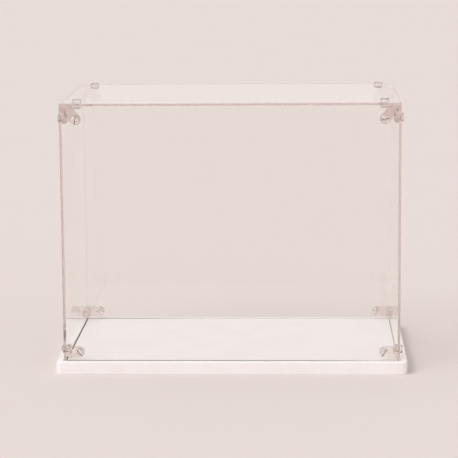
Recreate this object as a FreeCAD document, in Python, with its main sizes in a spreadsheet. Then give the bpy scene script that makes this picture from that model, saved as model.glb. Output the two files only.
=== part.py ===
# Display case: a clear cover of five screwed sheets that stands in the groove of a white base board.
# The origin is the middle of the board's underside, +Z is up and the front faces -Y. Millimetres.
import FreeCAD, Part
import math
import os
import Sketcher

doc = FreeCAD.newDocument("display_case")

# Driving dimensions
SIZES = {
    # Cover: its outline, the height of its walls and the thickness of every sheet
    "cover_width": 400,
    "cover_depth": 250,
    "wall_height": 309,
    "sheet_thickness": 3,
    # Base board: how far it stands out round the cover, and its rounded corners and edges
    "base_overhang": 8.5,
    "base_thickness": 15,
    "base_corner_radius": 7,
    "base_edge_round": 1.2,
    "base_foot_round": 0.4,
    # Groove that the walls stand in, with the gap on each side of a wall
    "groove_depth": 5,
    "groove_clearance": 0.8,
    # Screw axes: how far they are from the inside of the sheets beside them, and the low ones' height
    "screw_inset": 16,
    "low_screw_height": 10,
    # Connectors: flat arms with a solid corner, and a boss at each screw that steps in from the arm's end
    "arm_width": 12.5,
    "arm_thickness": 3,
    "boss_step": 1.25,
    "boss_height": 5,
    "boss_round": 0.8,
    "top_hub_radius": 6,
    "bottom_hub_radius": 4.5,
    # Screws: slotted head, and a threaded shank whose tip stays inside the boss
    "head_diameter": 10,
    "head_height": 3.5,
    "head_round": 1.2,
    "slot_width": 1.4,
    "slot_depth": 1.5,
    "shank_diameter": 5,
    "tip_setback": 0.5,
    "tip_chamfer": 0.6,
    "thread_pitch": 1,
    "thread_depth": 0.4,
    # Holes: their width beyond the shank in the sheets and in the bosses
    "sheet_hole_clearance": 0.6,
    "boss_bore_clearance": 0.2,
}

# Sizes and places that follow from them
RULES = {
    "half_cover_width": "cover_width / 2",
    "half_cover_depth": "cover_depth / 2",
    "inner_half_width": "half_cover_width - sheet_thickness",
    "inner_half_depth": "half_cover_depth - sheet_thickness",
    "base_width": "cover_width + 2 * base_overhang",
    "base_depth": "cover_depth + 2 * base_overhang",
    "groove_outer_width": "cover_width + 2 * groove_clearance",
    "groove_outer_depth": "cover_depth + 2 * groove_clearance",
    "groove_inner_width": "2 * inner_half_width - 2 * groove_clearance",
    "groove_inner_depth": "2 * inner_half_depth - 2 * groove_clearance",
    "wall_foot": "base_thickness - groove_depth",
    "wall_top": "wall_foot + wall_height",
    "cover_top": "wall_top + sheet_thickness",
    "side_wall_width": "2 * inner_half_depth",
    "screw_half_width": "inner_half_width - screw_inset",
    "screw_half_depth": "inner_half_depth - screw_inset",
    "low_screw_level": "base_thickness + low_screw_height",
    "high_screw_level": "wall_top - screw_inset",
    "low_hole_height": "low_screw_level - wall_foot",
    "high_hole_height": "high_screw_level - wall_foot",
    "near_hole_depth": "sheet_thickness + screw_inset",
    "far_hole_depth": "cover_depth - near_hole_depth",
    "sheet_hole_radius": "(shank_diameter + sheet_hole_clearance) / 2",
    "arm_radius": "arm_width / 2",
    "boss_radius": "arm_radius - boss_step",
    "boss_bore_radius": "(shank_diameter + boss_bore_clearance) / 2",
    "head_radius": "head_diameter / 2",
    "slot_length": "head_diameter + slot_width",
    "slot_half_length": "slot_length / 2",
    "slot_half_width": "slot_width / 2",
    "slot_floor": "head_height - slot_depth",
    "shank_radius": "shank_diameter / 2",
    "shank_length": "sheet_thickness + boss_height - tip_setback",
    "furrow_mouth_radius": "shank_radius + thread_depth",
    "furrow_root_radius": "shank_radius - thread_depth",
    "thread_start": "sheet_thickness + thread_pitch / 2",
    "thread_count": "max(2; floor((shank_length - tip_chamfer - thread_start) / thread_pitch) + 1)",
    "thread_run": "(thread_count - 1) * thread_pitch",
}

sheet = doc.addObject("Spreadsheet::Sheet", "Sizes")
cells = {**SIZES, **{alias: f"={rule}" for alias, rule in RULES.items()}}
for row, (alias, content) in enumerate(cells.items(), start=1):
    sheet.set(f"A{row}", alias)
    sheet.set(f"B{row}", str(content))
    sheet.setAlias(f"B{row}", alias)
doc.recompute()

UP = FreeCAD.Vector(0, 0, 1)
parts = []


def size(alias):
    """The present value of a size, for a sketch's first shape and for choosing edges."""
    return float(sheet.get(alias))


def signed(sign, alias):
    """A size measured to the positive or the negative side."""
    return alias if sign > 0 else f"-{alias}"


def bind(thing, prop, alias):
    """Ties a property to a size, with a minus sign in front where it has one."""
    sign = "-" if alias.startswith("-") else ""
    thing.setExpression(prop, f"{sign}Sizes.{alias.lstrip('-')}")


def place(thing, turn, **at):
    """Turns a thing and ties its x, y or z to sizes."""
    thing.Placement.Rotation = turn
    for axis, alias in at.items():
        bind(thing, f"Placement.Base.{axis}", alias)


def about_z(degrees):
    """A turn about the upright axis."""
    return FreeCAD.Rotation(UP, degrees)


def new_body(label):
    """An empty body that becomes one piece of the display case."""
    body = doc.addObject("PartDesign::Body", label)
    body.Label = label
    parts.append(body)
    return body


def origin_feature(body, role):
    """One of the body's own planes or axes."""
    return next(item for item in body.Origin.OriginFeatures if item.Role == role)


def primitive(body, kind, name, sizes, **at):
    """A simple solid that is added to the body or cut from it."""
    feature = body.newObject(f"PartDesign::{kind}", name)
    for prop, alias in sizes.items():
        bind(feature, prop, alias)
    place(feature, about_z(0), **at)
    doc.recompute()
    return feature


def extrude(body, kind, name, sketch, alias, reverse=False):
    """A pad or a pocket of a sketch."""
    feature = body.newObject(f"PartDesign::{kind}", name)
    feature.Profile = sketch
    feature.Reversed = reverse
    bind(feature, "Length", alias)
    doc.recompute()
    return feature


def dress(body, kind, name, feature, chosen, prop, alias):
    """A fillet or a chamfer on the edges of a feature that the test chooses."""
    edges = [f"Edge{i}" for i, edge in enumerate(feature.Shape.Edges, start=1) if chosen(edge)]
    dressed = body.newObject(f"PartDesign::{kind}", name)
    dressed.Base = (feature, edges)
    bind(dressed, prop, alias)
    doc.recompute()
    return dressed


# Places closer together than this are the same
NEAR = 1e-6


def is_upright(edge):
    """True for a straight edge that runs along Z."""
    box = edge.BoundBox
    return max(box.XLength, box.YLength) < NEAR < box.ZLength


def is_level(edge, height):
    """True for an edge that lies flat at a height."""
    box = edge.BoundBox
    return box.ZLength < NEAR and abs(box.ZMin - height) < NEAR


# Sketches. A constraint's end of a line or arc, and the sketch's own origin and axes:
START, END, CENTRE = range(1, 4)
X_AXIS, Y_AXIS = range(-1, -3, -1)
ORIGIN = (X_AXIS, START)


def new_sketch(body, name, role, **offset):
    """An empty sketch on one of the body's planes, moved from it by sizes along its own axes."""
    sketch = body.newObject("Sketcher::SketchObject", name)
    sketch.AttachmentSupport = (origin_feature(body, role), [""])
    sketch.MapMode = "FlatFace"
    for axis, alias in offset.items():
        bind(sketch, f"AttachmentOffset.Base.{axis}", alias)
    return sketch


def constrain(sketch, kind, *where, alias=None):
    """Adds a constraint and, where it is a dimension, ties it to a size."""
    if alias is None:
        sketch.addConstraint(Sketcher.Constraint(kind, *where))
        return
    index = sketch.addConstraint(Sketcher.Constraint(kind, *where, size(alias)))
    name = f"dimension_{index}"
    sketch.renameConstraint(index, name)
    bind(sketch, f"Constraints.{name}", alias)


def outline(sketch, corners, round_side=None, centre=None):
    """A closed outline of straight sides, one of which may be a half circle about a centre."""
    points = [FreeCAD.Vector(*corner) for corner in corners]
    sides = []
    for number, (here, there) in enumerate(zip(points, points[1:] + points[:1])):
        curve = Part.LineSegment(here, there)
        if number == round_side:
            middle = FreeCAD.Vector(*centre)
            spoke = here - middle
            start = math.atan2(spoke.y, spoke.x)
            curve = Part.ArcOfCircle(Part.Circle(middle, UP, spoke.Length), start, start + math.pi)
        sides.append(sketch.addGeometry(curve))
    for number, side in enumerate(sides):
        following = (number + 1) % len(sides)
        meeting = "Tangent" if round_side in (number, following) else "Coincident"
        constrain(sketch, meeting, side, END, sides[following], START)
    return sides


def rectangle(sketch, width, depth, from_x_axis=False):
    """A rectangle symmetric about Y, which starts at the X axis or is symmetric about it too."""
    half = size(width) / 2
    low = 0 if from_x_axis else -size(depth) / 2
    high = low + size(depth)
    corners = ((-half, low), (half, low), (half, high), (-half, high))
    bottom, right, top, left = outline(sketch, corners)
    constrain(sketch, "Symmetric", bottom, START, bottom, END, Y_AXIS)
    constrain(sketch, "Horizontal", top)
    constrain(sketch, "Vertical", left)
    if from_x_axis:
        constrain(sketch, "PointOnObject", bottom, START, X_AXIS)
        constrain(sketch, "Vertical", right)
    else:
        constrain(sketch, "Symmetric", right, START, right, END, X_AXIS)
    constrain(sketch, "Distance", bottom, alias=width)
    constrain(sketch, "Distance", right, alias=depth)


def circle(sketch, radius, x, y=None):
    """A circle to the right of the origin and above it, or on the X axis where y isn't given."""
    middle = FreeCAD.Vector(size(x), size(y) if y else 0)
    ring = sketch.addGeometry(Part.Circle(middle, UP, size(radius)))
    constrain(sketch, "Radius", ring, alias=radius)
    constrain(sketch, "DistanceX", *ORIGIN, ring, CENTRE, alias=x)
    if y:
        constrain(sketch, "DistanceY", *ORIGIN, ring, CENTRE, alias=y)
    else:
        constrain(sketch, "PointOnObject", ring, CENTRE, X_AXIS)
    return ring


def mirrored_circle(sketch, ring):
    """The same circle on the other side of the Y axis."""
    first = sketch.Geometry[ring]
    middle = FreeCAD.Vector(-first.Center.x, first.Center.y)
    twin = sketch.addGeometry(Part.Circle(middle, UP, first.Radius))
    constrain(sketch, "Equal", ring, twin)
    constrain(sketch, "Symmetric", ring, CENTRE, twin, CENTRE, Y_AXIS)


# Base board: a rounded slab with one groove all round, which the walls stand in
def make_base_board():
    body = new_body("base_board")
    board = new_sketch(body, "board_outline", "XY_Plane")
    rectangle(board, "base_width", "base_depth")
    slab = extrude(body, "Pad", "slab", board, "base_thickness")
    rounded = dress(body, "Fillet", "corner_round", slab, is_upright, "Radius", "base_corner_radius")
    top = size("base_thickness")
    eased = dress(body, "Fillet", "edge_round", rounded, lambda edge: is_level(edge, top),
                  "Radius", "base_edge_round")
    dress(body, "Fillet", "foot_round", eased, lambda edge: is_level(edge, 0),
          "Radius", "base_foot_round")
    ring = new_sketch(body, "groove_outline", "XY_Plane", z="base_thickness")
    rectangle(ring, "groove_outer_width", "groove_outer_depth")
    rectangle(ring, "groove_inner_width", "groove_inner_depth")
    extrude(body, "Pocket", "groove", ring, "groove_depth")


# Sheet: cut to its outline with four screw holes, and drawn flat with its outside up
def make_sheet(label, width, height, hole_spread, low_hole, high_hole, turn, **at):
    body = new_body(label)
    cut = new_sketch(body, f"{label}_outline", "XY_Plane")
    rectangle(cut, width, height, from_x_axis=True)
    for level in (low_hole, high_hole):
        mirrored_circle(cut, circle(cut, "sheet_hole_radius", hole_spread, level))
    extrude(body, "Pad", f"{label}_sheet", cut, "sheet_thickness")
    place(body, turn, **at)


# Walls: the front and back cover the ends of the sides, and all four stand on the groove's floor
STAND_UP = FreeCAD.Rotation(FreeCAD.Vector(1, 0, 0), 90)


def make_walls():
    for label, turn, at in (
        ("front_panel", 0, {"y": "-inner_half_depth"}),
        ("back_panel", 180, {"y": "inner_half_depth"}),
    ):
        make_sheet(label, "cover_width", "wall_height", "screw_half_width", "low_hole_height",
                   "high_hole_height", about_z(turn) * STAND_UP, z="wall_foot", **at)
    for label, turn, at in (
        ("left_panel", 270, {"x": "-inner_half_width"}),
        ("right_panel", 90, {"x": "inner_half_width"}),
    ):
        make_sheet(label, "side_wall_width", "wall_height", "screw_half_depth", "low_hole_height",
                   "high_hole_height", about_z(turn) * STAND_UP, z="wall_foot", **at)


# Top sheet: lies on the walls, drawn from its front edge
def make_top_panel():
    make_sheet("top_panel", "cover_width", "cover_depth", "screw_half_width", "near_hole_depth",
               "far_hole_depth", about_z(0), y="-half_cover_depth", z="wall_top")


# Connectors are drawn from the inside corner between the sheets. Each arm lies against one sheet:
# the plane that it is drawn on, and whether the connector lies behind that plane.
ARM_PLANES = {"XZ_Plane": True, "YZ_Plane": False, "XY_Plane": False}


def slanting_arm(sketch):
    """An arm from the corner to the screw, as far from one neighbouring sheet as from the other."""
    inset = size("screw_inset")
    slant = size("arm_radius") / math.sqrt(2)
    corners = ((0, 0), (2 * slant, 0), (inset + slant, inset - slant),
               (inset - slant, inset + slant), (0, 2 * slant))
    foot, lower, end, upper, heel = outline(sketch, corners, round_side=2, centre=(inset, inset))
    constrain(sketch, "Coincident", foot, START, *ORIGIN)
    constrain(sketch, "Horizontal", foot)
    constrain(sketch, "Vertical", heel)
    constrain(sketch, "Equal", foot, heel)
    constrain(sketch, "Parallel", lower, upper)
    constrain(sketch, "Radius", end, alias="arm_radius")
    constrain(sketch, "DistanceX", *ORIGIN, end, CENTRE, alias="screw_inset")
    constrain(sketch, "DistanceY", *ORIGIN, end, CENTRE, alias="screw_inset")


def level_arm(sketch):
    """An arm that runs level from the corner to the screw."""
    inset = size("screw_inset")
    half = size("arm_radius")
    corners = ((0, -half), (inset, -half), (inset, half), (0, half))
    lower, end, upper, heel = outline(sketch, corners, round_side=1, centre=(inset, 0))
    constrain(sketch, "Horizontal", lower)
    constrain(sketch, "Vertical", heel)
    constrain(sketch, "PointOnObject", heel, START, Y_AXIS)
    constrain(sketch, "PointOnObject", end, CENTRE, X_AXIS)
    constrain(sketch, "Radius", end, alias="arm_radius")
    constrain(sketch, "DistanceX", *ORIGIN, end, CENTRE, alias="screw_inset")


def is_boss_rim(edge):
    """True for the round edge at the inner end of a boss."""
    if edge.Degenerated or not isinstance(edge.Curve, Part.Circle):
        return False
    inner_end = any(math.isclose(along, size("boss_height")) for along in edge.Curve.Center)
    return inner_end and math.isclose(edge.Curve.Radius, size("boss_radius"))


def make_arms(body, planes, draw_arm, *screw):
    """Arms with their rounded bosses on the planes, then a bore through each boss."""
    for plane in planes:
        behind = ARM_PLANES[plane]
        arm = new_sketch(body, f"arm_{plane}", plane)
        draw_arm(arm)
        extrude(body, "Pad", f"arm_pad_{plane}", arm, "arm_thickness", behind)
        round_base = new_sketch(body, f"boss_{plane}", plane)
        circle(round_base, "boss_radius", *screw)
        boss = extrude(body, "Pad", f"boss_pad_{plane}", round_base, "boss_height", behind)
    dress(body, "Fillet", "boss_rims", boss, is_boss_rim, "Radius", "boss_round")
    for plane in planes:
        bore = new_sketch(body, f"bore_{plane}", plane)
        circle(bore, "boss_bore_radius", *screw)
        extrude(body, "Pocket", f"bore_cut_{plane}", bore, "boss_height", not ARM_PLANES[plane])


# Top connector: one arm on each of three sheets round an eighth of a ball
OVER_THE_TOP = FreeCAD.Rotation(FreeCAD.Vector(1, 1, 0), 180)


def make_top_connector(label, turn, **at):
    body = new_body(label)
    hub = primitive(body, "AdditiveSphere", "hub", {"Radius": "top_hub_radius"})
    hub.Angle1, hub.Angle2, hub.Angle3 = 0, 90, 90
    make_arms(body, ARM_PLANES, slanting_arm, "screw_inset", "screw_inset")
    place(body, about_z(turn) * OVER_THE_TOP, **at)


# Bottom connector: one level arm on each of two walls round a quarter of a cylinder
def make_bottom_connector(label, turn, **at):
    body = new_body(label)
    hub = primitive(body, "AdditiveCylinder", "hub",
                    {"Radius": "bottom_hub_radius", "Height": "arm_width"}, z="-arm_radius")
    hub.Angle = 90
    make_arms(body, ("XZ_Plane", "YZ_Plane"), level_arm, "screw_inset")
    place(body, about_z(turn), **at)


# Screw: the origin is under its head, with the shank downwards. Each stops at its own slot angle.
SLOT_STEP = 67


def furrow_outline(sketch):
    """A notch into the shank, with its mouth as far outside the shank as its root is inside."""
    mouth = size("furrow_mouth_radius")
    root = size("furrow_root_radius")
    half = size("thread_pitch") / 2
    back, upper, lower = outline(sketch, ((mouth, -half), (mouth, half), (root, 0)))
    constrain(sketch, "Symmetric", back, START, back, END, X_AXIS)
    constrain(sketch, "PointOnObject", upper, END, X_AXIS)
    constrain(sketch, "Distance", back, alias="thread_pitch")
    constrain(sketch, "DistanceX", *ORIGIN, back, START, alias="furrow_mouth_radius")
    constrain(sketch, "DistanceX", *ORIGIN, upper, END, alias="furrow_root_radius")


def make_screw(label, outward, x, y, z):
    body = new_body(label)
    head = primitive(body, "AdditiveCylinder", "head", {"Radius": "head_radius", "Height": "head_height"})
    top = size("head_height")
    dress(body, "Fillet", "head_edge", head, lambda edge: is_level(edge, top), "Radius", "head_round")
    shank = primitive(body, "AdditiveCylinder", "shank",
                      {"Radius": "shank_radius", "Height": "shank_length"}, z="-shank_length")
    tip = -size("shank_length")
    dress(body, "Chamfer", "tip_edge", shank, lambda edge: is_level(edge, tip), "Size", "tip_chamfer")
    primitive(body, "SubtractiveBox", "slot",
              {"Length": "slot_length", "Width": "slot_width", "Height": "slot_depth"},
              x="-slot_half_length", y="-slot_half_width", z="slot_floor")
    notch = new_sketch(body, "notch", "XZ_Plane", y="-thread_start")
    furrow_outline(notch)
    furrow = body.newObject("PartDesign::Groove", "furrow")
    furrow.Profile = notch
    furrow.ReferenceAxis = (origin_feature(body, "Z_Axis"), [""])
    doc.recompute()
    thread = body.newObject("PartDesign::LinearPattern", "thread")
    thread.Originals = [furrow]
    thread.Direction = (origin_feature(body, "Z_Axis"), [""])
    thread.Reversed = True
    bind(thread, "Length", "thread_run")
    bind(thread, "Occurrences", "thread_count")
    body.Tip = thread
    turn = FreeCAD.Rotation(UP, FreeCAD.Vector(*outward)) * about_z(SLOT_STEP * len(parts))
    place(body, turn, x=x, y=y, z=z)


# Corners: connectors inside, and a screw from outside into each of their arms
LEVELS = {"bottom": "low_screw_level", "top": "high_screw_level"}


def make_corner(end, along_y, side, along_x):
    turn = math.degrees(math.atan2(-along_y, -along_x)) - 45
    inside = {"x": signed(along_x, "inner_half_width"), "y": signed(along_y, "inner_half_depth")}
    make_top_connector(f"top_connector_{end}_{side}", turn, **inside, z="wall_top")
    make_bottom_connector(f"bottom_connector_{end}_{side}", turn, **inside, z="low_screw_level")
    screw_x = signed(along_x, "screw_half_width")
    screw_y = signed(along_y, "screw_half_depth")
    make_screw(f"screw_lid_{end}_{side}", (0, 0, 1), screw_x, screw_y, "cover_top")
    for level, height in LEVELS.items():
        make_screw(f"screw_{end}_{level}_{side}", (0, along_y, 0),
                   screw_x, signed(along_y, "half_cover_depth"), height)
        make_screw(f"screw_{side}_{level}_{end}", (along_x, 0, 0),
                   signed(along_x, "half_cover_width"), screw_y, height)


make_base_board()
make_walls()
make_top_panel()
for end_name, end_sign in (("front", -1), ("back", 1)):
    for side_name, side_sign in (("left", -1), ("right", 1)):
        make_corner(end_name, end_sign, side_name, side_sign)
doc.recompute()

# Every piece must be sound before any is written
failed = [item.Name for item in doc.Objects if {"Invalid", "Error"} & set(item.State)]
if failed:
    raise RuntimeError(f"failed features: {failed}")
for part in parts:
    if part.Shape.isNull() or not part.Shape.isValid() or len(part.Shape.Solids) != 1:
        raise RuntimeError(f"unsound piece: {part.Label}")
os.makedirs("parts", exist_ok=True)
for part in parts:
    part.Shape.exportStep(f"parts/{part.Label}.step")
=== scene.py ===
import math

import bmesh
import bpy
from mathutils import Matrix, Vector


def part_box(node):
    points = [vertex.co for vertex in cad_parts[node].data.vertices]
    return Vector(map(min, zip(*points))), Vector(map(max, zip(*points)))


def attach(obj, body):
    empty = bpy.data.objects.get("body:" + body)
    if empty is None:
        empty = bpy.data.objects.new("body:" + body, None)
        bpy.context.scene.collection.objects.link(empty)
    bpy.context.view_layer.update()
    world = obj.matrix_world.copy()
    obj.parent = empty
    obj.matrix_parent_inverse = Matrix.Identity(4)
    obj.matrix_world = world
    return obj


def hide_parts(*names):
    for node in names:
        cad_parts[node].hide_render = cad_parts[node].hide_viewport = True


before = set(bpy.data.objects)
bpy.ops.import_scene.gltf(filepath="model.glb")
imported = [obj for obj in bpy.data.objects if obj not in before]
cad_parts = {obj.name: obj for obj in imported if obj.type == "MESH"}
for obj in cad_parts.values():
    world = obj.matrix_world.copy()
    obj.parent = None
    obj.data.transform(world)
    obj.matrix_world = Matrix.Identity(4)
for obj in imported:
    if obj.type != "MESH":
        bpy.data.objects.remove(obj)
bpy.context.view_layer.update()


# Base board: a flat board with rounded corners, sprayed satin white, with a groove routed round
# its top for the walls. It lies loose under the cover. The groove holds painted shade.
BOARD_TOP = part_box("base_board")[1].z
BOARD_HALF_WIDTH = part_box("base_board")[1].x
BOARD_HALF_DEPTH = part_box("base_board")[1].y
RIM_WIDTH = 0.002
SKIN = 0.0004
UNDERSIDE_REACH = 0.004
LACQUER_WHITE = (0.871, 0.849, 0.853, 1.0)
LACQUER_SHADE = (0.832, 0.808, 0.803, 1.0)
# Painted shade for the groove: near black at the left and front, pale towards the right and back.
GROOVE_PAINTED_SHADE = (0.035, 0.014, 0.01, 1.0)
GROOVE_FADED_SHADE = (0.88, 0.84, 0.82, 1.0)
SHADE_FADE_SLANT = 0.88
SHADE_FADE_REACH = (-0.03, 0.08)


class Shade:
    """An output of a shader node: sums on it add Math nodes, and add() adds any other node."""

    def __init__(self, tree, socket=None):
        self.tree = tree
        self.socket = socket

    def add(self, kind, settings=None, inputs=None, output=0):
        node = self.tree.nodes.new("ShaderNode" + kind)
        for name, value in (settings or {}).items():
            setattr(node, name, value)
        for key, value in (inputs or {}).items():
            if isinstance(value, Shade):
                self.tree.links.new(value.socket, node.inputs[key])
            else:
                node.inputs[key].default_value = value
        return Shade(self.tree, node.outputs[output] if node.outputs else None)

    def math(self, operation, *values):
        return self.add("Math", {"operation": operation}, dict(enumerate(values)))

    def __add__(self, other):
        return self.math("ADD", self, other)

    def __radd__(self, other):
        return self.math("ADD", other, self)

    def __sub__(self, other):
        return self.math("SUBTRACT", self, other)

    def __rsub__(self, other):
        return self.math("SUBTRACT", other, self)

    def __mul__(self, other):
        return self.math("MULTIPLY", self, other)

    def __rmul__(self, other):
        return self.math("MULTIPLY", other, self)

    def __abs__(self):
        return self.math("ABSOLUTE", self)

    def smaller(self, other):
        return self.math("MINIMUM", self, other)

    def rise(self, low, high):
        """0 below low, 1 above high, and a smooth rise between them."""
        return self.add("MapRange", {"interpolation_type": "SMOOTHSTEP"},
                        {"Value": self, "From Min": low, "From Max": high})

    def noise(self, place, scale, detail=2.0, roughness=0.5):
        return self.add("TexNoise", None, {"Vector": place, "Scale": scale, "Detail": detail,
                                           "Roughness": roughness})

    def blend(self, first, second):
        """The first colour where this is 0, and the second where it is 1."""
        return self.add("Mix", {"data_type": "RGBA"}, {0: self, 6: first, 7: second}, 2)

    def axes(self):
        """The three parts of a vector."""
        x = self.add("SeparateXYZ", None, {0: self}, "X")
        node = x.socket.node
        return x, Shade(self.tree, node.outputs["Y"]), Shade(self.tree, node.outputs["Z"])


def new_finish(name):
    """An empty material, and a start for its nodes."""
    material = bpy.data.materials.new(name)
    material.use_nodes = True
    material.node_tree.nodes.clear()
    return material, Shade(material.node_tree)


def dress(material, *nodes):
    """Puts a material on CAD nodes, in the slot that each has."""
    for name in nodes:
        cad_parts[name].material_slots[0].material = material


def lacquer():
    """Satin white lacquer: a fine orange peel, faint mottling, and painted shade in the groove,
    near black at the left and front and pale towards the right and back.
    """
    material, start = new_finish("satin_white_lacquer")
    place = start.add("TexCoord", output="Object")
    x, y, z = place.axes()
    mottle = start.noise(place, 38.0, 4.0).rise(0.35, 0.7)
    peel = start.noise(place, 1400.0, 2.0)
    grain = start.noise(place, 260.0, 5.0, 0.65)
    inside = (BOARD_HALF_WIDTH - RIM_WIDTH - abs(x)).smaller(BOARD_HALF_DEPTH - RIM_WIDTH - abs(y))
    under_deck = 1 - z.rise(BOARD_TOP - SKIN, BOARD_TOP - SKIN / 2)
    over_underside = z.rise(UNDERSIDE_REACH, UNDERSIDE_REACH + 0.0005)
    groove = inside.rise(0.0, SKIN) * under_deck * over_underside
    rim = 1 - inside.rise(-0.0012, 0.0006)
    scuff = rim * grain.rise(0.62, 0.74)
    colour = (mottle * 0.6 + scuff * 0.4).blend(LACQUER_WHITE, LACQUER_SHADE)
    # Painted shade in the groove, fading from near black at the left and front to pale at the right
    # and back.
    shade_fade = (x + y * SHADE_FADE_SLANT).rise(*SHADE_FADE_REACH)
    colour = groove.blend(colour, shade_fade.blend(GROOVE_PAINTED_SHADE, GROOVE_FADED_SHADE))
    gloss = 0.36 + mottle * 0.07 + grain * 0.05 + scuff * 0.1 + groove * 0.3
    height = peel * 0.6 + grain * 0.4
    bump = start.add("Bump", None, {"Strength": 0.12, "Distance": 0.0002, "Height": height})
    surface = start.add("BsdfPrincipled", None, {
        "Base Color": colour, "Roughness": gloss, "Normal": bump, "IOR": 1.47})
    start.add("OutputMaterial", None, {"Surface": surface})
    return material


dress(lacquer(), "base_board")


# Walls: four clear acrylic sheets with polished cut edges, which stand in the groove. The
# side walls fit between the front and the back one.
SHEET_FACE = (0.992, 0.988, 0.985, 1.0)
SHEET_EDGE = (0.81, 0.70, 0.665, 1.0)
SHEET_SHADOW = (0.95, 0.945, 0.94, 1.0)
ACRYLIC_IOR = 1.49
AIR = 0.00003
ARRIS = 0.0005
HOLE_RADIUS = 0.0028
HOLE_SIDES = 48
THIN_X, THIN_Y, THIN_Z = range(3)


def lamps_pass(start, surface, tint):
    """Clear plastic that lamps and soft light reach through without bending."""
    straight = start.add("BsdfTransparent", None, {"Color": tint})
    path = start.add("LightPath", output="Is Shadow Ray")
    diffuse = Shade(path.tree, path.socket.node.outputs["Is Diffuse Ray"])
    lit = start.add("MixShader", None, {0: path, 1: surface, 2: straight})
    return start.add("MixShader", None, {0: diffuse, 1: lit, 2: straight})


def clear_sheet(name, thin_axis):
    """Clear acrylic: still faces with a trace of dust and wiping, and cut edges with fine lines."""
    material, start = new_finish(name)
    place = start.add("TexCoord", output="Object")
    facing = start.add("TexCoord", output="Normal").axes()[thin_axis]
    edge = 1 - abs(facing).rise(0.4, 0.6)
    wiped = start.noise(place, 9.0, 3.0).rise(0.45, 0.75)
    dust = start.noise(place, 900.0, 2.0).rise(0.68, 0.8)
    lines = start.noise(place, 1500.0, 1.0)
    colour = edge.blend(SHEET_FACE, SHEET_EDGE)
    gloss = 0.006 + wiped * 0.012 + dust * 0.02 + edge * (0.16 + lines * 0.08)
    height = start.noise(place, 5.0, 1.0) + edge * lines * 0.02
    bump = start.add("Bump", None, {"Strength": 0.006, "Distance": 0.0005, "Height": height})
    surface = start.add("BsdfPrincipled", None, {
        "Base Color": colour, "Roughness": gloss, "Normal": bump, "IOR": ACRYLIC_IOR,
        "Transmission Weight": 1.0})
    start.add("OutputMaterial", None, {"Surface": lamps_pass(start, surface, SHEET_SHADOW)})
    return material


def middle_of(node):
    return sum(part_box(node), Vector()) / 2


def cut_sheet(name, node, side, finish):
    """A sheet in the place of its CAD node, a hair smaller all round, with its edges arrised."""
    low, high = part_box(node)
    middle = middle_of(node)
    half = (high - low) / 2 - Vector((AIR, AIR, AIR))
    thin = min(range(3), key=lambda axis: half[axis])
    across = [axis for axis in range(3) if axis != thin]

    def outer(inset):
        return [(u * (half[across[0]] - inset), v * (half[across[1]] - inset))
                for u, v in ((-1, -1), (1, -1), (1, 1), (-1, 1))]

    def hole(centre, inset):
        turns = [2 * math.pi * step / HOLE_SIDES for step in range(HOLE_SIDES)]
        return [(centre[across[0]] + (HOLE_RADIUS + inset) * math.cos(turn),
                 centre[across[1]] + (HOLE_RADIUS + inset) * math.sin(turn)) for turn in turns]

    mesh = bmesh.new()

    def ring(points, level):
        made = []
        for u, v in points:
            place = Vector()
            place[across[0]], place[across[1]], place[thin] = u, v, level
            made.append(mesh.verts.new(middle + place))
        return made

    levels = [(half[thin], ARRIS), (half[thin] - ARRIS, 0.0)]
    levels += [(-level, inset) for level, inset in reversed(levels)]
    stacks = [[ring(outer(inset), level) for level, inset in levels]]
    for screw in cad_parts:
        if screw.startswith(f"screw_{side}_"):
            centre = middle_of(screw) - middle
            stacks.append([ring(hole(centre, inset), level) for level, inset in levels])
    for stack in stacks:
        for upper, lower in zip(stack, stack[1:]):
            for here in range(len(upper)):
                there = (here + 1) % len(upper)
                mesh.faces.new((upper[here], upper[there], lower[there], lower[here]))
    for end in (0, -1):
        rims = [mesh.edges.get((first, second)) for stack in stacks
                for first, second in zip(stack[end], stack[end][1:] + stack[end][:1])]
        bmesh.ops.triangle_fill(mesh, edges=rims, use_beauty=True)
    bmesh.ops.recalc_face_normals(mesh, faces=mesh.faces)
    data = bpy.data.meshes.new(name)
    mesh.to_mesh(data)
    mesh.free()
    data.shade_smooth()
    data.set_sharp_from_angle(angle=math.radians(30.0))
    data.materials.append(finish)
    sheet = bpy.data.objects.new(name, data)
    bpy.context.scene.collection.objects.link(sheet)
    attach(sheet, "cover")
    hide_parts(node)


broad_finish = clear_sheet("clear_front_and_back_sheet", THIN_Y)
cut_sheet("front_sheet", "front_panel", "front", broad_finish)
cut_sheet("back_sheet", "back_panel", "back", broad_finish)
side_finish = clear_sheet("clear_side_sheet", THIN_X)
cut_sheet("left_sheet", "left_panel", "left", side_finish)
cut_sheet("right_sheet", "right_panel", "right", side_finish)


# Connectors: clear moulded corner pieces inside the walls, three-armed at the top and
# two-armed at the bottom. Each arm lies on a sheet and has a threaded boss for its screw.
# The top connectors get darker tints as painted shade, and the bottom ones paler tints as painted
# light.
UPPER_SHADED_CLEAR = (0.79, 0.68, 0.65, 1.0)
UPPER_SHADED_CLOUD = (0.71, 0.59, 0.56, 1.0)
# The rim colours darken the rims as they turn edge-on to the view: painted shade.
UPPER_RIM_PAINTED_SHADE = (0.12, 0.06, 0.05, 1.0)
LOWER_LIT_CLEAR = (0.90, 0.84, 0.82, 1.0)
LOWER_LIT_CLOUD = (0.84, 0.76, 0.735, 1.0)
LOWER_RIM_PAINTED_SHADE = (0.48, 0.37, 0.33, 1.0)
CONNECTOR_SHADOW = (0.86, 0.84, 0.83, 1.0)
# The bosses are painted paler than the arms as painted highlight.
BOSS_PAINTED_HIGHLIGHT = (0.97, 0.955, 0.95, 1.0)
BOSS_RADIUS = 0.005
CONNECTOR_IOR = 1.5


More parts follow.
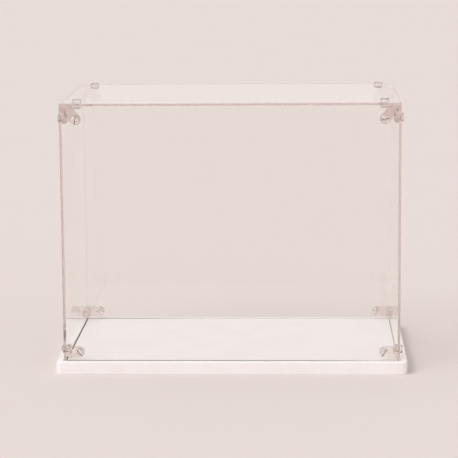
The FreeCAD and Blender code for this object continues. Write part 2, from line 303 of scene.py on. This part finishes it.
def bosses(place):
    """1 inside the round bosses, which are mirrored about the middle of the case."""
    low = middle_of("screw_front_bottom_left")
    front = middle_of("screw_front_top_left")
    side = middle_of("screw_left_top_front")
    lid = middle_of("screw_lid_front_left")
    x, y, z = place.axes()
    x, y, z = abs(x), abs(y), abs(z - (low.z + front.z) / 2)
    level = (front.z - low.z) / 2

    def away(first, here, second, there):
        return (first - here) * (first - here) + (second - there) * (second - there)

    nearest = away(x, -front.x, z, level)
    nearest = nearest.smaller(away(y, -side.y, z, level))
    nearest = nearest.smaller(away(x, -lid.x, y, -lid.y))
    return 1 - nearest.rise(BOSS_RADIUS ** 2, (BOSS_RADIUS + 0.0003) ** 2)


def moulded_clear(name, clear, cloud, rim, shadow, ior, zone, painted_zone_colour):
    """Clear moulded plastic: slow flow lines, a gloss dulled in places, rims that darken as the
    surface turns edge-on to the view, which is painted shade, and a zone of another colour, which
    is painted highlight on the bosses and painted shade on the slot floors."""
    material, start = new_finish(name)
    place = start.add("TexCoord", output="Object")
    flow = start.noise(place, 150.0, 2.0)
    haze = start.noise(place, 420.0, 4.0).rise(0.45, 0.7)
    gloss = 0.02 + haze * 0.05
    # Painted shade: the colour darkens towards the rims as the surface turns edge-on to the view.
    grazing_painted_shade = start.add("LayerWeight", None, {"Blend": 0.5}, "Facing").rise(0.32, 0.78)
    colour = zone(place).blend(haze.blend(clear, cloud), painted_zone_colour)
    colour = grazing_painted_shade.blend(colour, rim)
    bump = start.add("Bump", None, {"Strength": 0.1, "Distance": 0.0006, "Height": flow})
    surface = start.add("BsdfPrincipled", None, {
        "Base Color": colour, "Roughness": gloss, "Normal": bump, "IOR": ior,
        "Transmission Weight": 1.0})
    start.add("OutputMaterial", None, {"Surface": lamps_pass(start, surface, shadow)})
    return material


# Darker tints on the top connectors and paler ones on the bottom: painted shade and painted light.
upper = [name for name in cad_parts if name.startswith("top_connector")]
dress(moulded_clear("clear_top_connector", UPPER_SHADED_CLEAR, UPPER_SHADED_CLOUD, UPPER_RIM_PAINTED_SHADE,
                    CONNECTOR_SHADOW, CONNECTOR_IOR, bosses, BOSS_PAINTED_HIGHLIGHT), *upper)
lower = [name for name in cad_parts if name.startswith("bottom_connector")]
dress(moulded_clear("clear_bottom_connector", LOWER_LIT_CLEAR, LOWER_LIT_CLOUD, LOWER_RIM_PAINTED_SHADE,
                    CONNECTOR_SHADOW, CONNECTOR_IOR, bosses, BOSS_PAINTED_HIGHLIGHT), *lower)


# Lid: one more clear acrylic sheet, which lies on the top edges of the four walls.
# Four screws hold it down to the top connectors.
cut_sheet("lid_sheet", "top_panel", "lid", clear_sheet("clear_lid_sheet", THIN_Z))


# Screws: clear moulded plastic with a rounded slotted head. They go through holes in the
# sheets into the bosses of the connectors, and stand at whatever turn they came tight.
SCREW_CLEAR = (0.98, 0.965, 0.96, 1.0)
SCREW_CLOUD = (0.95, 0.92, 0.91, 1.0)
# The rim colour darkens the heads' rims as they turn edge-on to the view: painted shade.
SCREW_RIM_PAINTED_SHADE = (0.16, 0.09, 0.075, 1.0)
SCREW_SHADOW = (0.88, 0.86, 0.85, 1.0)
# The slot floors are painted dark as shade.
SLOT_PAINTED_SHADE = (0.25, 0.17, 0.145, 1.0)
SLOT_DEPTH = 0.0015
SCREW_IOR = 1.58


def slot_floors(place):
    """1 on the floors of the slots, which are painted dark as shade."""
    x, y, z = place.axes()
    front = -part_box("screw_front_top_left")[0].y - abs(y)
    side = -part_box("screw_left_top_front")[0].x - abs(x)
    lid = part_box("screw_lid_front_left")[1].z - z
    depth = front.smaller(side).smaller(lid)
    return 1 - abs(depth - SLOT_DEPTH).rise(0.0001, 0.0002)


screws = [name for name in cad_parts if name.startswith("screw_")]
dress(moulded_clear("clear_moulded_screw", SCREW_CLEAR, SCREW_CLOUD, SCREW_RIM_PAINTED_SHADE,
                    SCREW_SHADOW, SCREW_IOR, slot_floors, SLOT_PAINTED_SHADE), *screws)


# Floor: a plain pale sheet under the case, matt and faintly mottled. It runs out far enough
# to be the background too.
FLOOR_REACH = 60.0
FLOOR_PALE = (0.69, 0.635, 0.62, 1.0)
FLOOR_SHADE = (0.6693, 0.61595, 0.6014, 1.0)


def pale_floor():
    material, start = new_finish("pale_floor")
    place = start.add("TexCoord", output="Object")
    tone = start.noise(place, 3.0, 2.0)
    colour = (tone * 0.3).blend(FLOOR_PALE, FLOOR_SHADE)
    surface = start.add("BsdfPrincipled", None, {
        "Base Color": colour, "Roughness": 0.7 + tone * 0.1, "Specular IOR Level": 0.2})
    start.add("OutputMaterial", None, {"Surface": surface})
    return material


floor_mesh = bpy.data.meshes.new("floor")
corners = [(x * FLOOR_REACH, y * FLOOR_REACH, 0.0) for x, y in ((-1, -1), (1, -1), (1, 1), (-1, 1))]
floor_mesh.from_pydata(corners, [], [(0, 1, 2, 3)])
floor_mesh.materials.append(pale_floor())
floor = bpy.data.objects.new("floor", floor_mesh)
bpy.context.scene.collection.objects.link(floor)


# Light: a wide soft lamp at the upper left in front, a weak one from the right that the sheets
# don't reflect, and a room that is pale low down and dim above, with a bright box overhead.
LAMP_WARM = (1.0, 0.975, 0.965)


def soft_sun(name, towards, strength, spread, reflected):
    lamp = bpy.data.lights.new(name, "SUN")
    lamp.energy = strength
    lamp.angle = math.radians(spread)
    lamp.color = LAMP_WARM
    holder = bpy.data.objects.new(name, lamp)
    holder.rotation_mode = "QUATERNION"
    holder.rotation_quaternion = Vector(towards).to_track_quat("Z", "Y")
    holder.visible_glossy = holder.visible_transmission = reflected
    bpy.context.scene.collection.objects.link(holder)


soft_sun("key_light", towards=(-0.57, -0.46, 0.68), strength=1.40, spread=30.0, reflected=True)
soft_sun("fill_light", towards=(0.70, -0.50, 0.50), strength=0.42, spread=60.0, reflected=False)

ROOM_PALE = (0.88, 0.80, 0.77, 1.0)
ROOM_DIM = (0.47, 0.435, 0.418, 1.0)
ROOM_BRIGHT = (1.7, 1.68, 1.67, 1.0)
PALE_TOP = (0.36, 0.48)
BOX_UP, BOX_LEFT = 0.92, 0.39
BOX_RIM = (0.84, 0.9)
world = bpy.data.worlds.new("room")
bpy.context.scene.world = world
world.use_nodes = True
world.node_tree.nodes.clear()
sky = Shade(world.node_tree)
across, _, height = sky.add("TexCoord", output="Generated").axes()
box = (height * BOX_UP - across * BOX_LEFT).rise(*BOX_RIM)
pale = 1 - height.rise(*PALE_TOP)
room = pale.blend(box.blend(ROOM_DIM, ROOM_BRIGHT), ROOM_PALE)
background = sky.add("Background", None, {"Color": room, "Strength": 1.0})
sky.add("OutputWorld", None, {"Surface": background})


# Camera: a long lens in front, a little to the right of the middle and looking slightly down,
# so that the lid and the deck show as narrow bands.
FOCAL_PIXELS = 2038.0
FRAME_PIXELS = 458.0
EYE = (0.0876, -2.4897, 0.5580)
YAW, PITCH, ROLL = 2.165, 9.229, 0.438
lens = bpy.data.cameras.new("camera")
lens.sensor_width = 36.0
lens.lens = FOCAL_PIXELS / FRAME_PIXELS * lens.sensor_width
camera = bpy.data.objects.new("camera", lens)
camera.matrix_world = (Matrix.Translation(EYE)
                       @ Matrix.Rotation(math.radians(YAW), 4, "Z")
                       @ Matrix.Rotation(math.radians(90.0 - PITCH), 4, "X")
                       @ Matrix.Rotation(math.radians(-ROLL), 4, "Z"))
bpy.context.scene.collection.objects.link(camera)
bpy.context.scene.camera = camera
bpy.context.scene.view_settings.view_transform = "Standard"

# Light runs a long way along a clear sheet before it leaves at an edge.
BOUNCES = 48
for limit in ("max_bounces", "glossy_bounces", "transmission_bounces", "transparent_max_bounces"):
    setattr(bpy.context.scene.cycles, limit, BOUNCES)
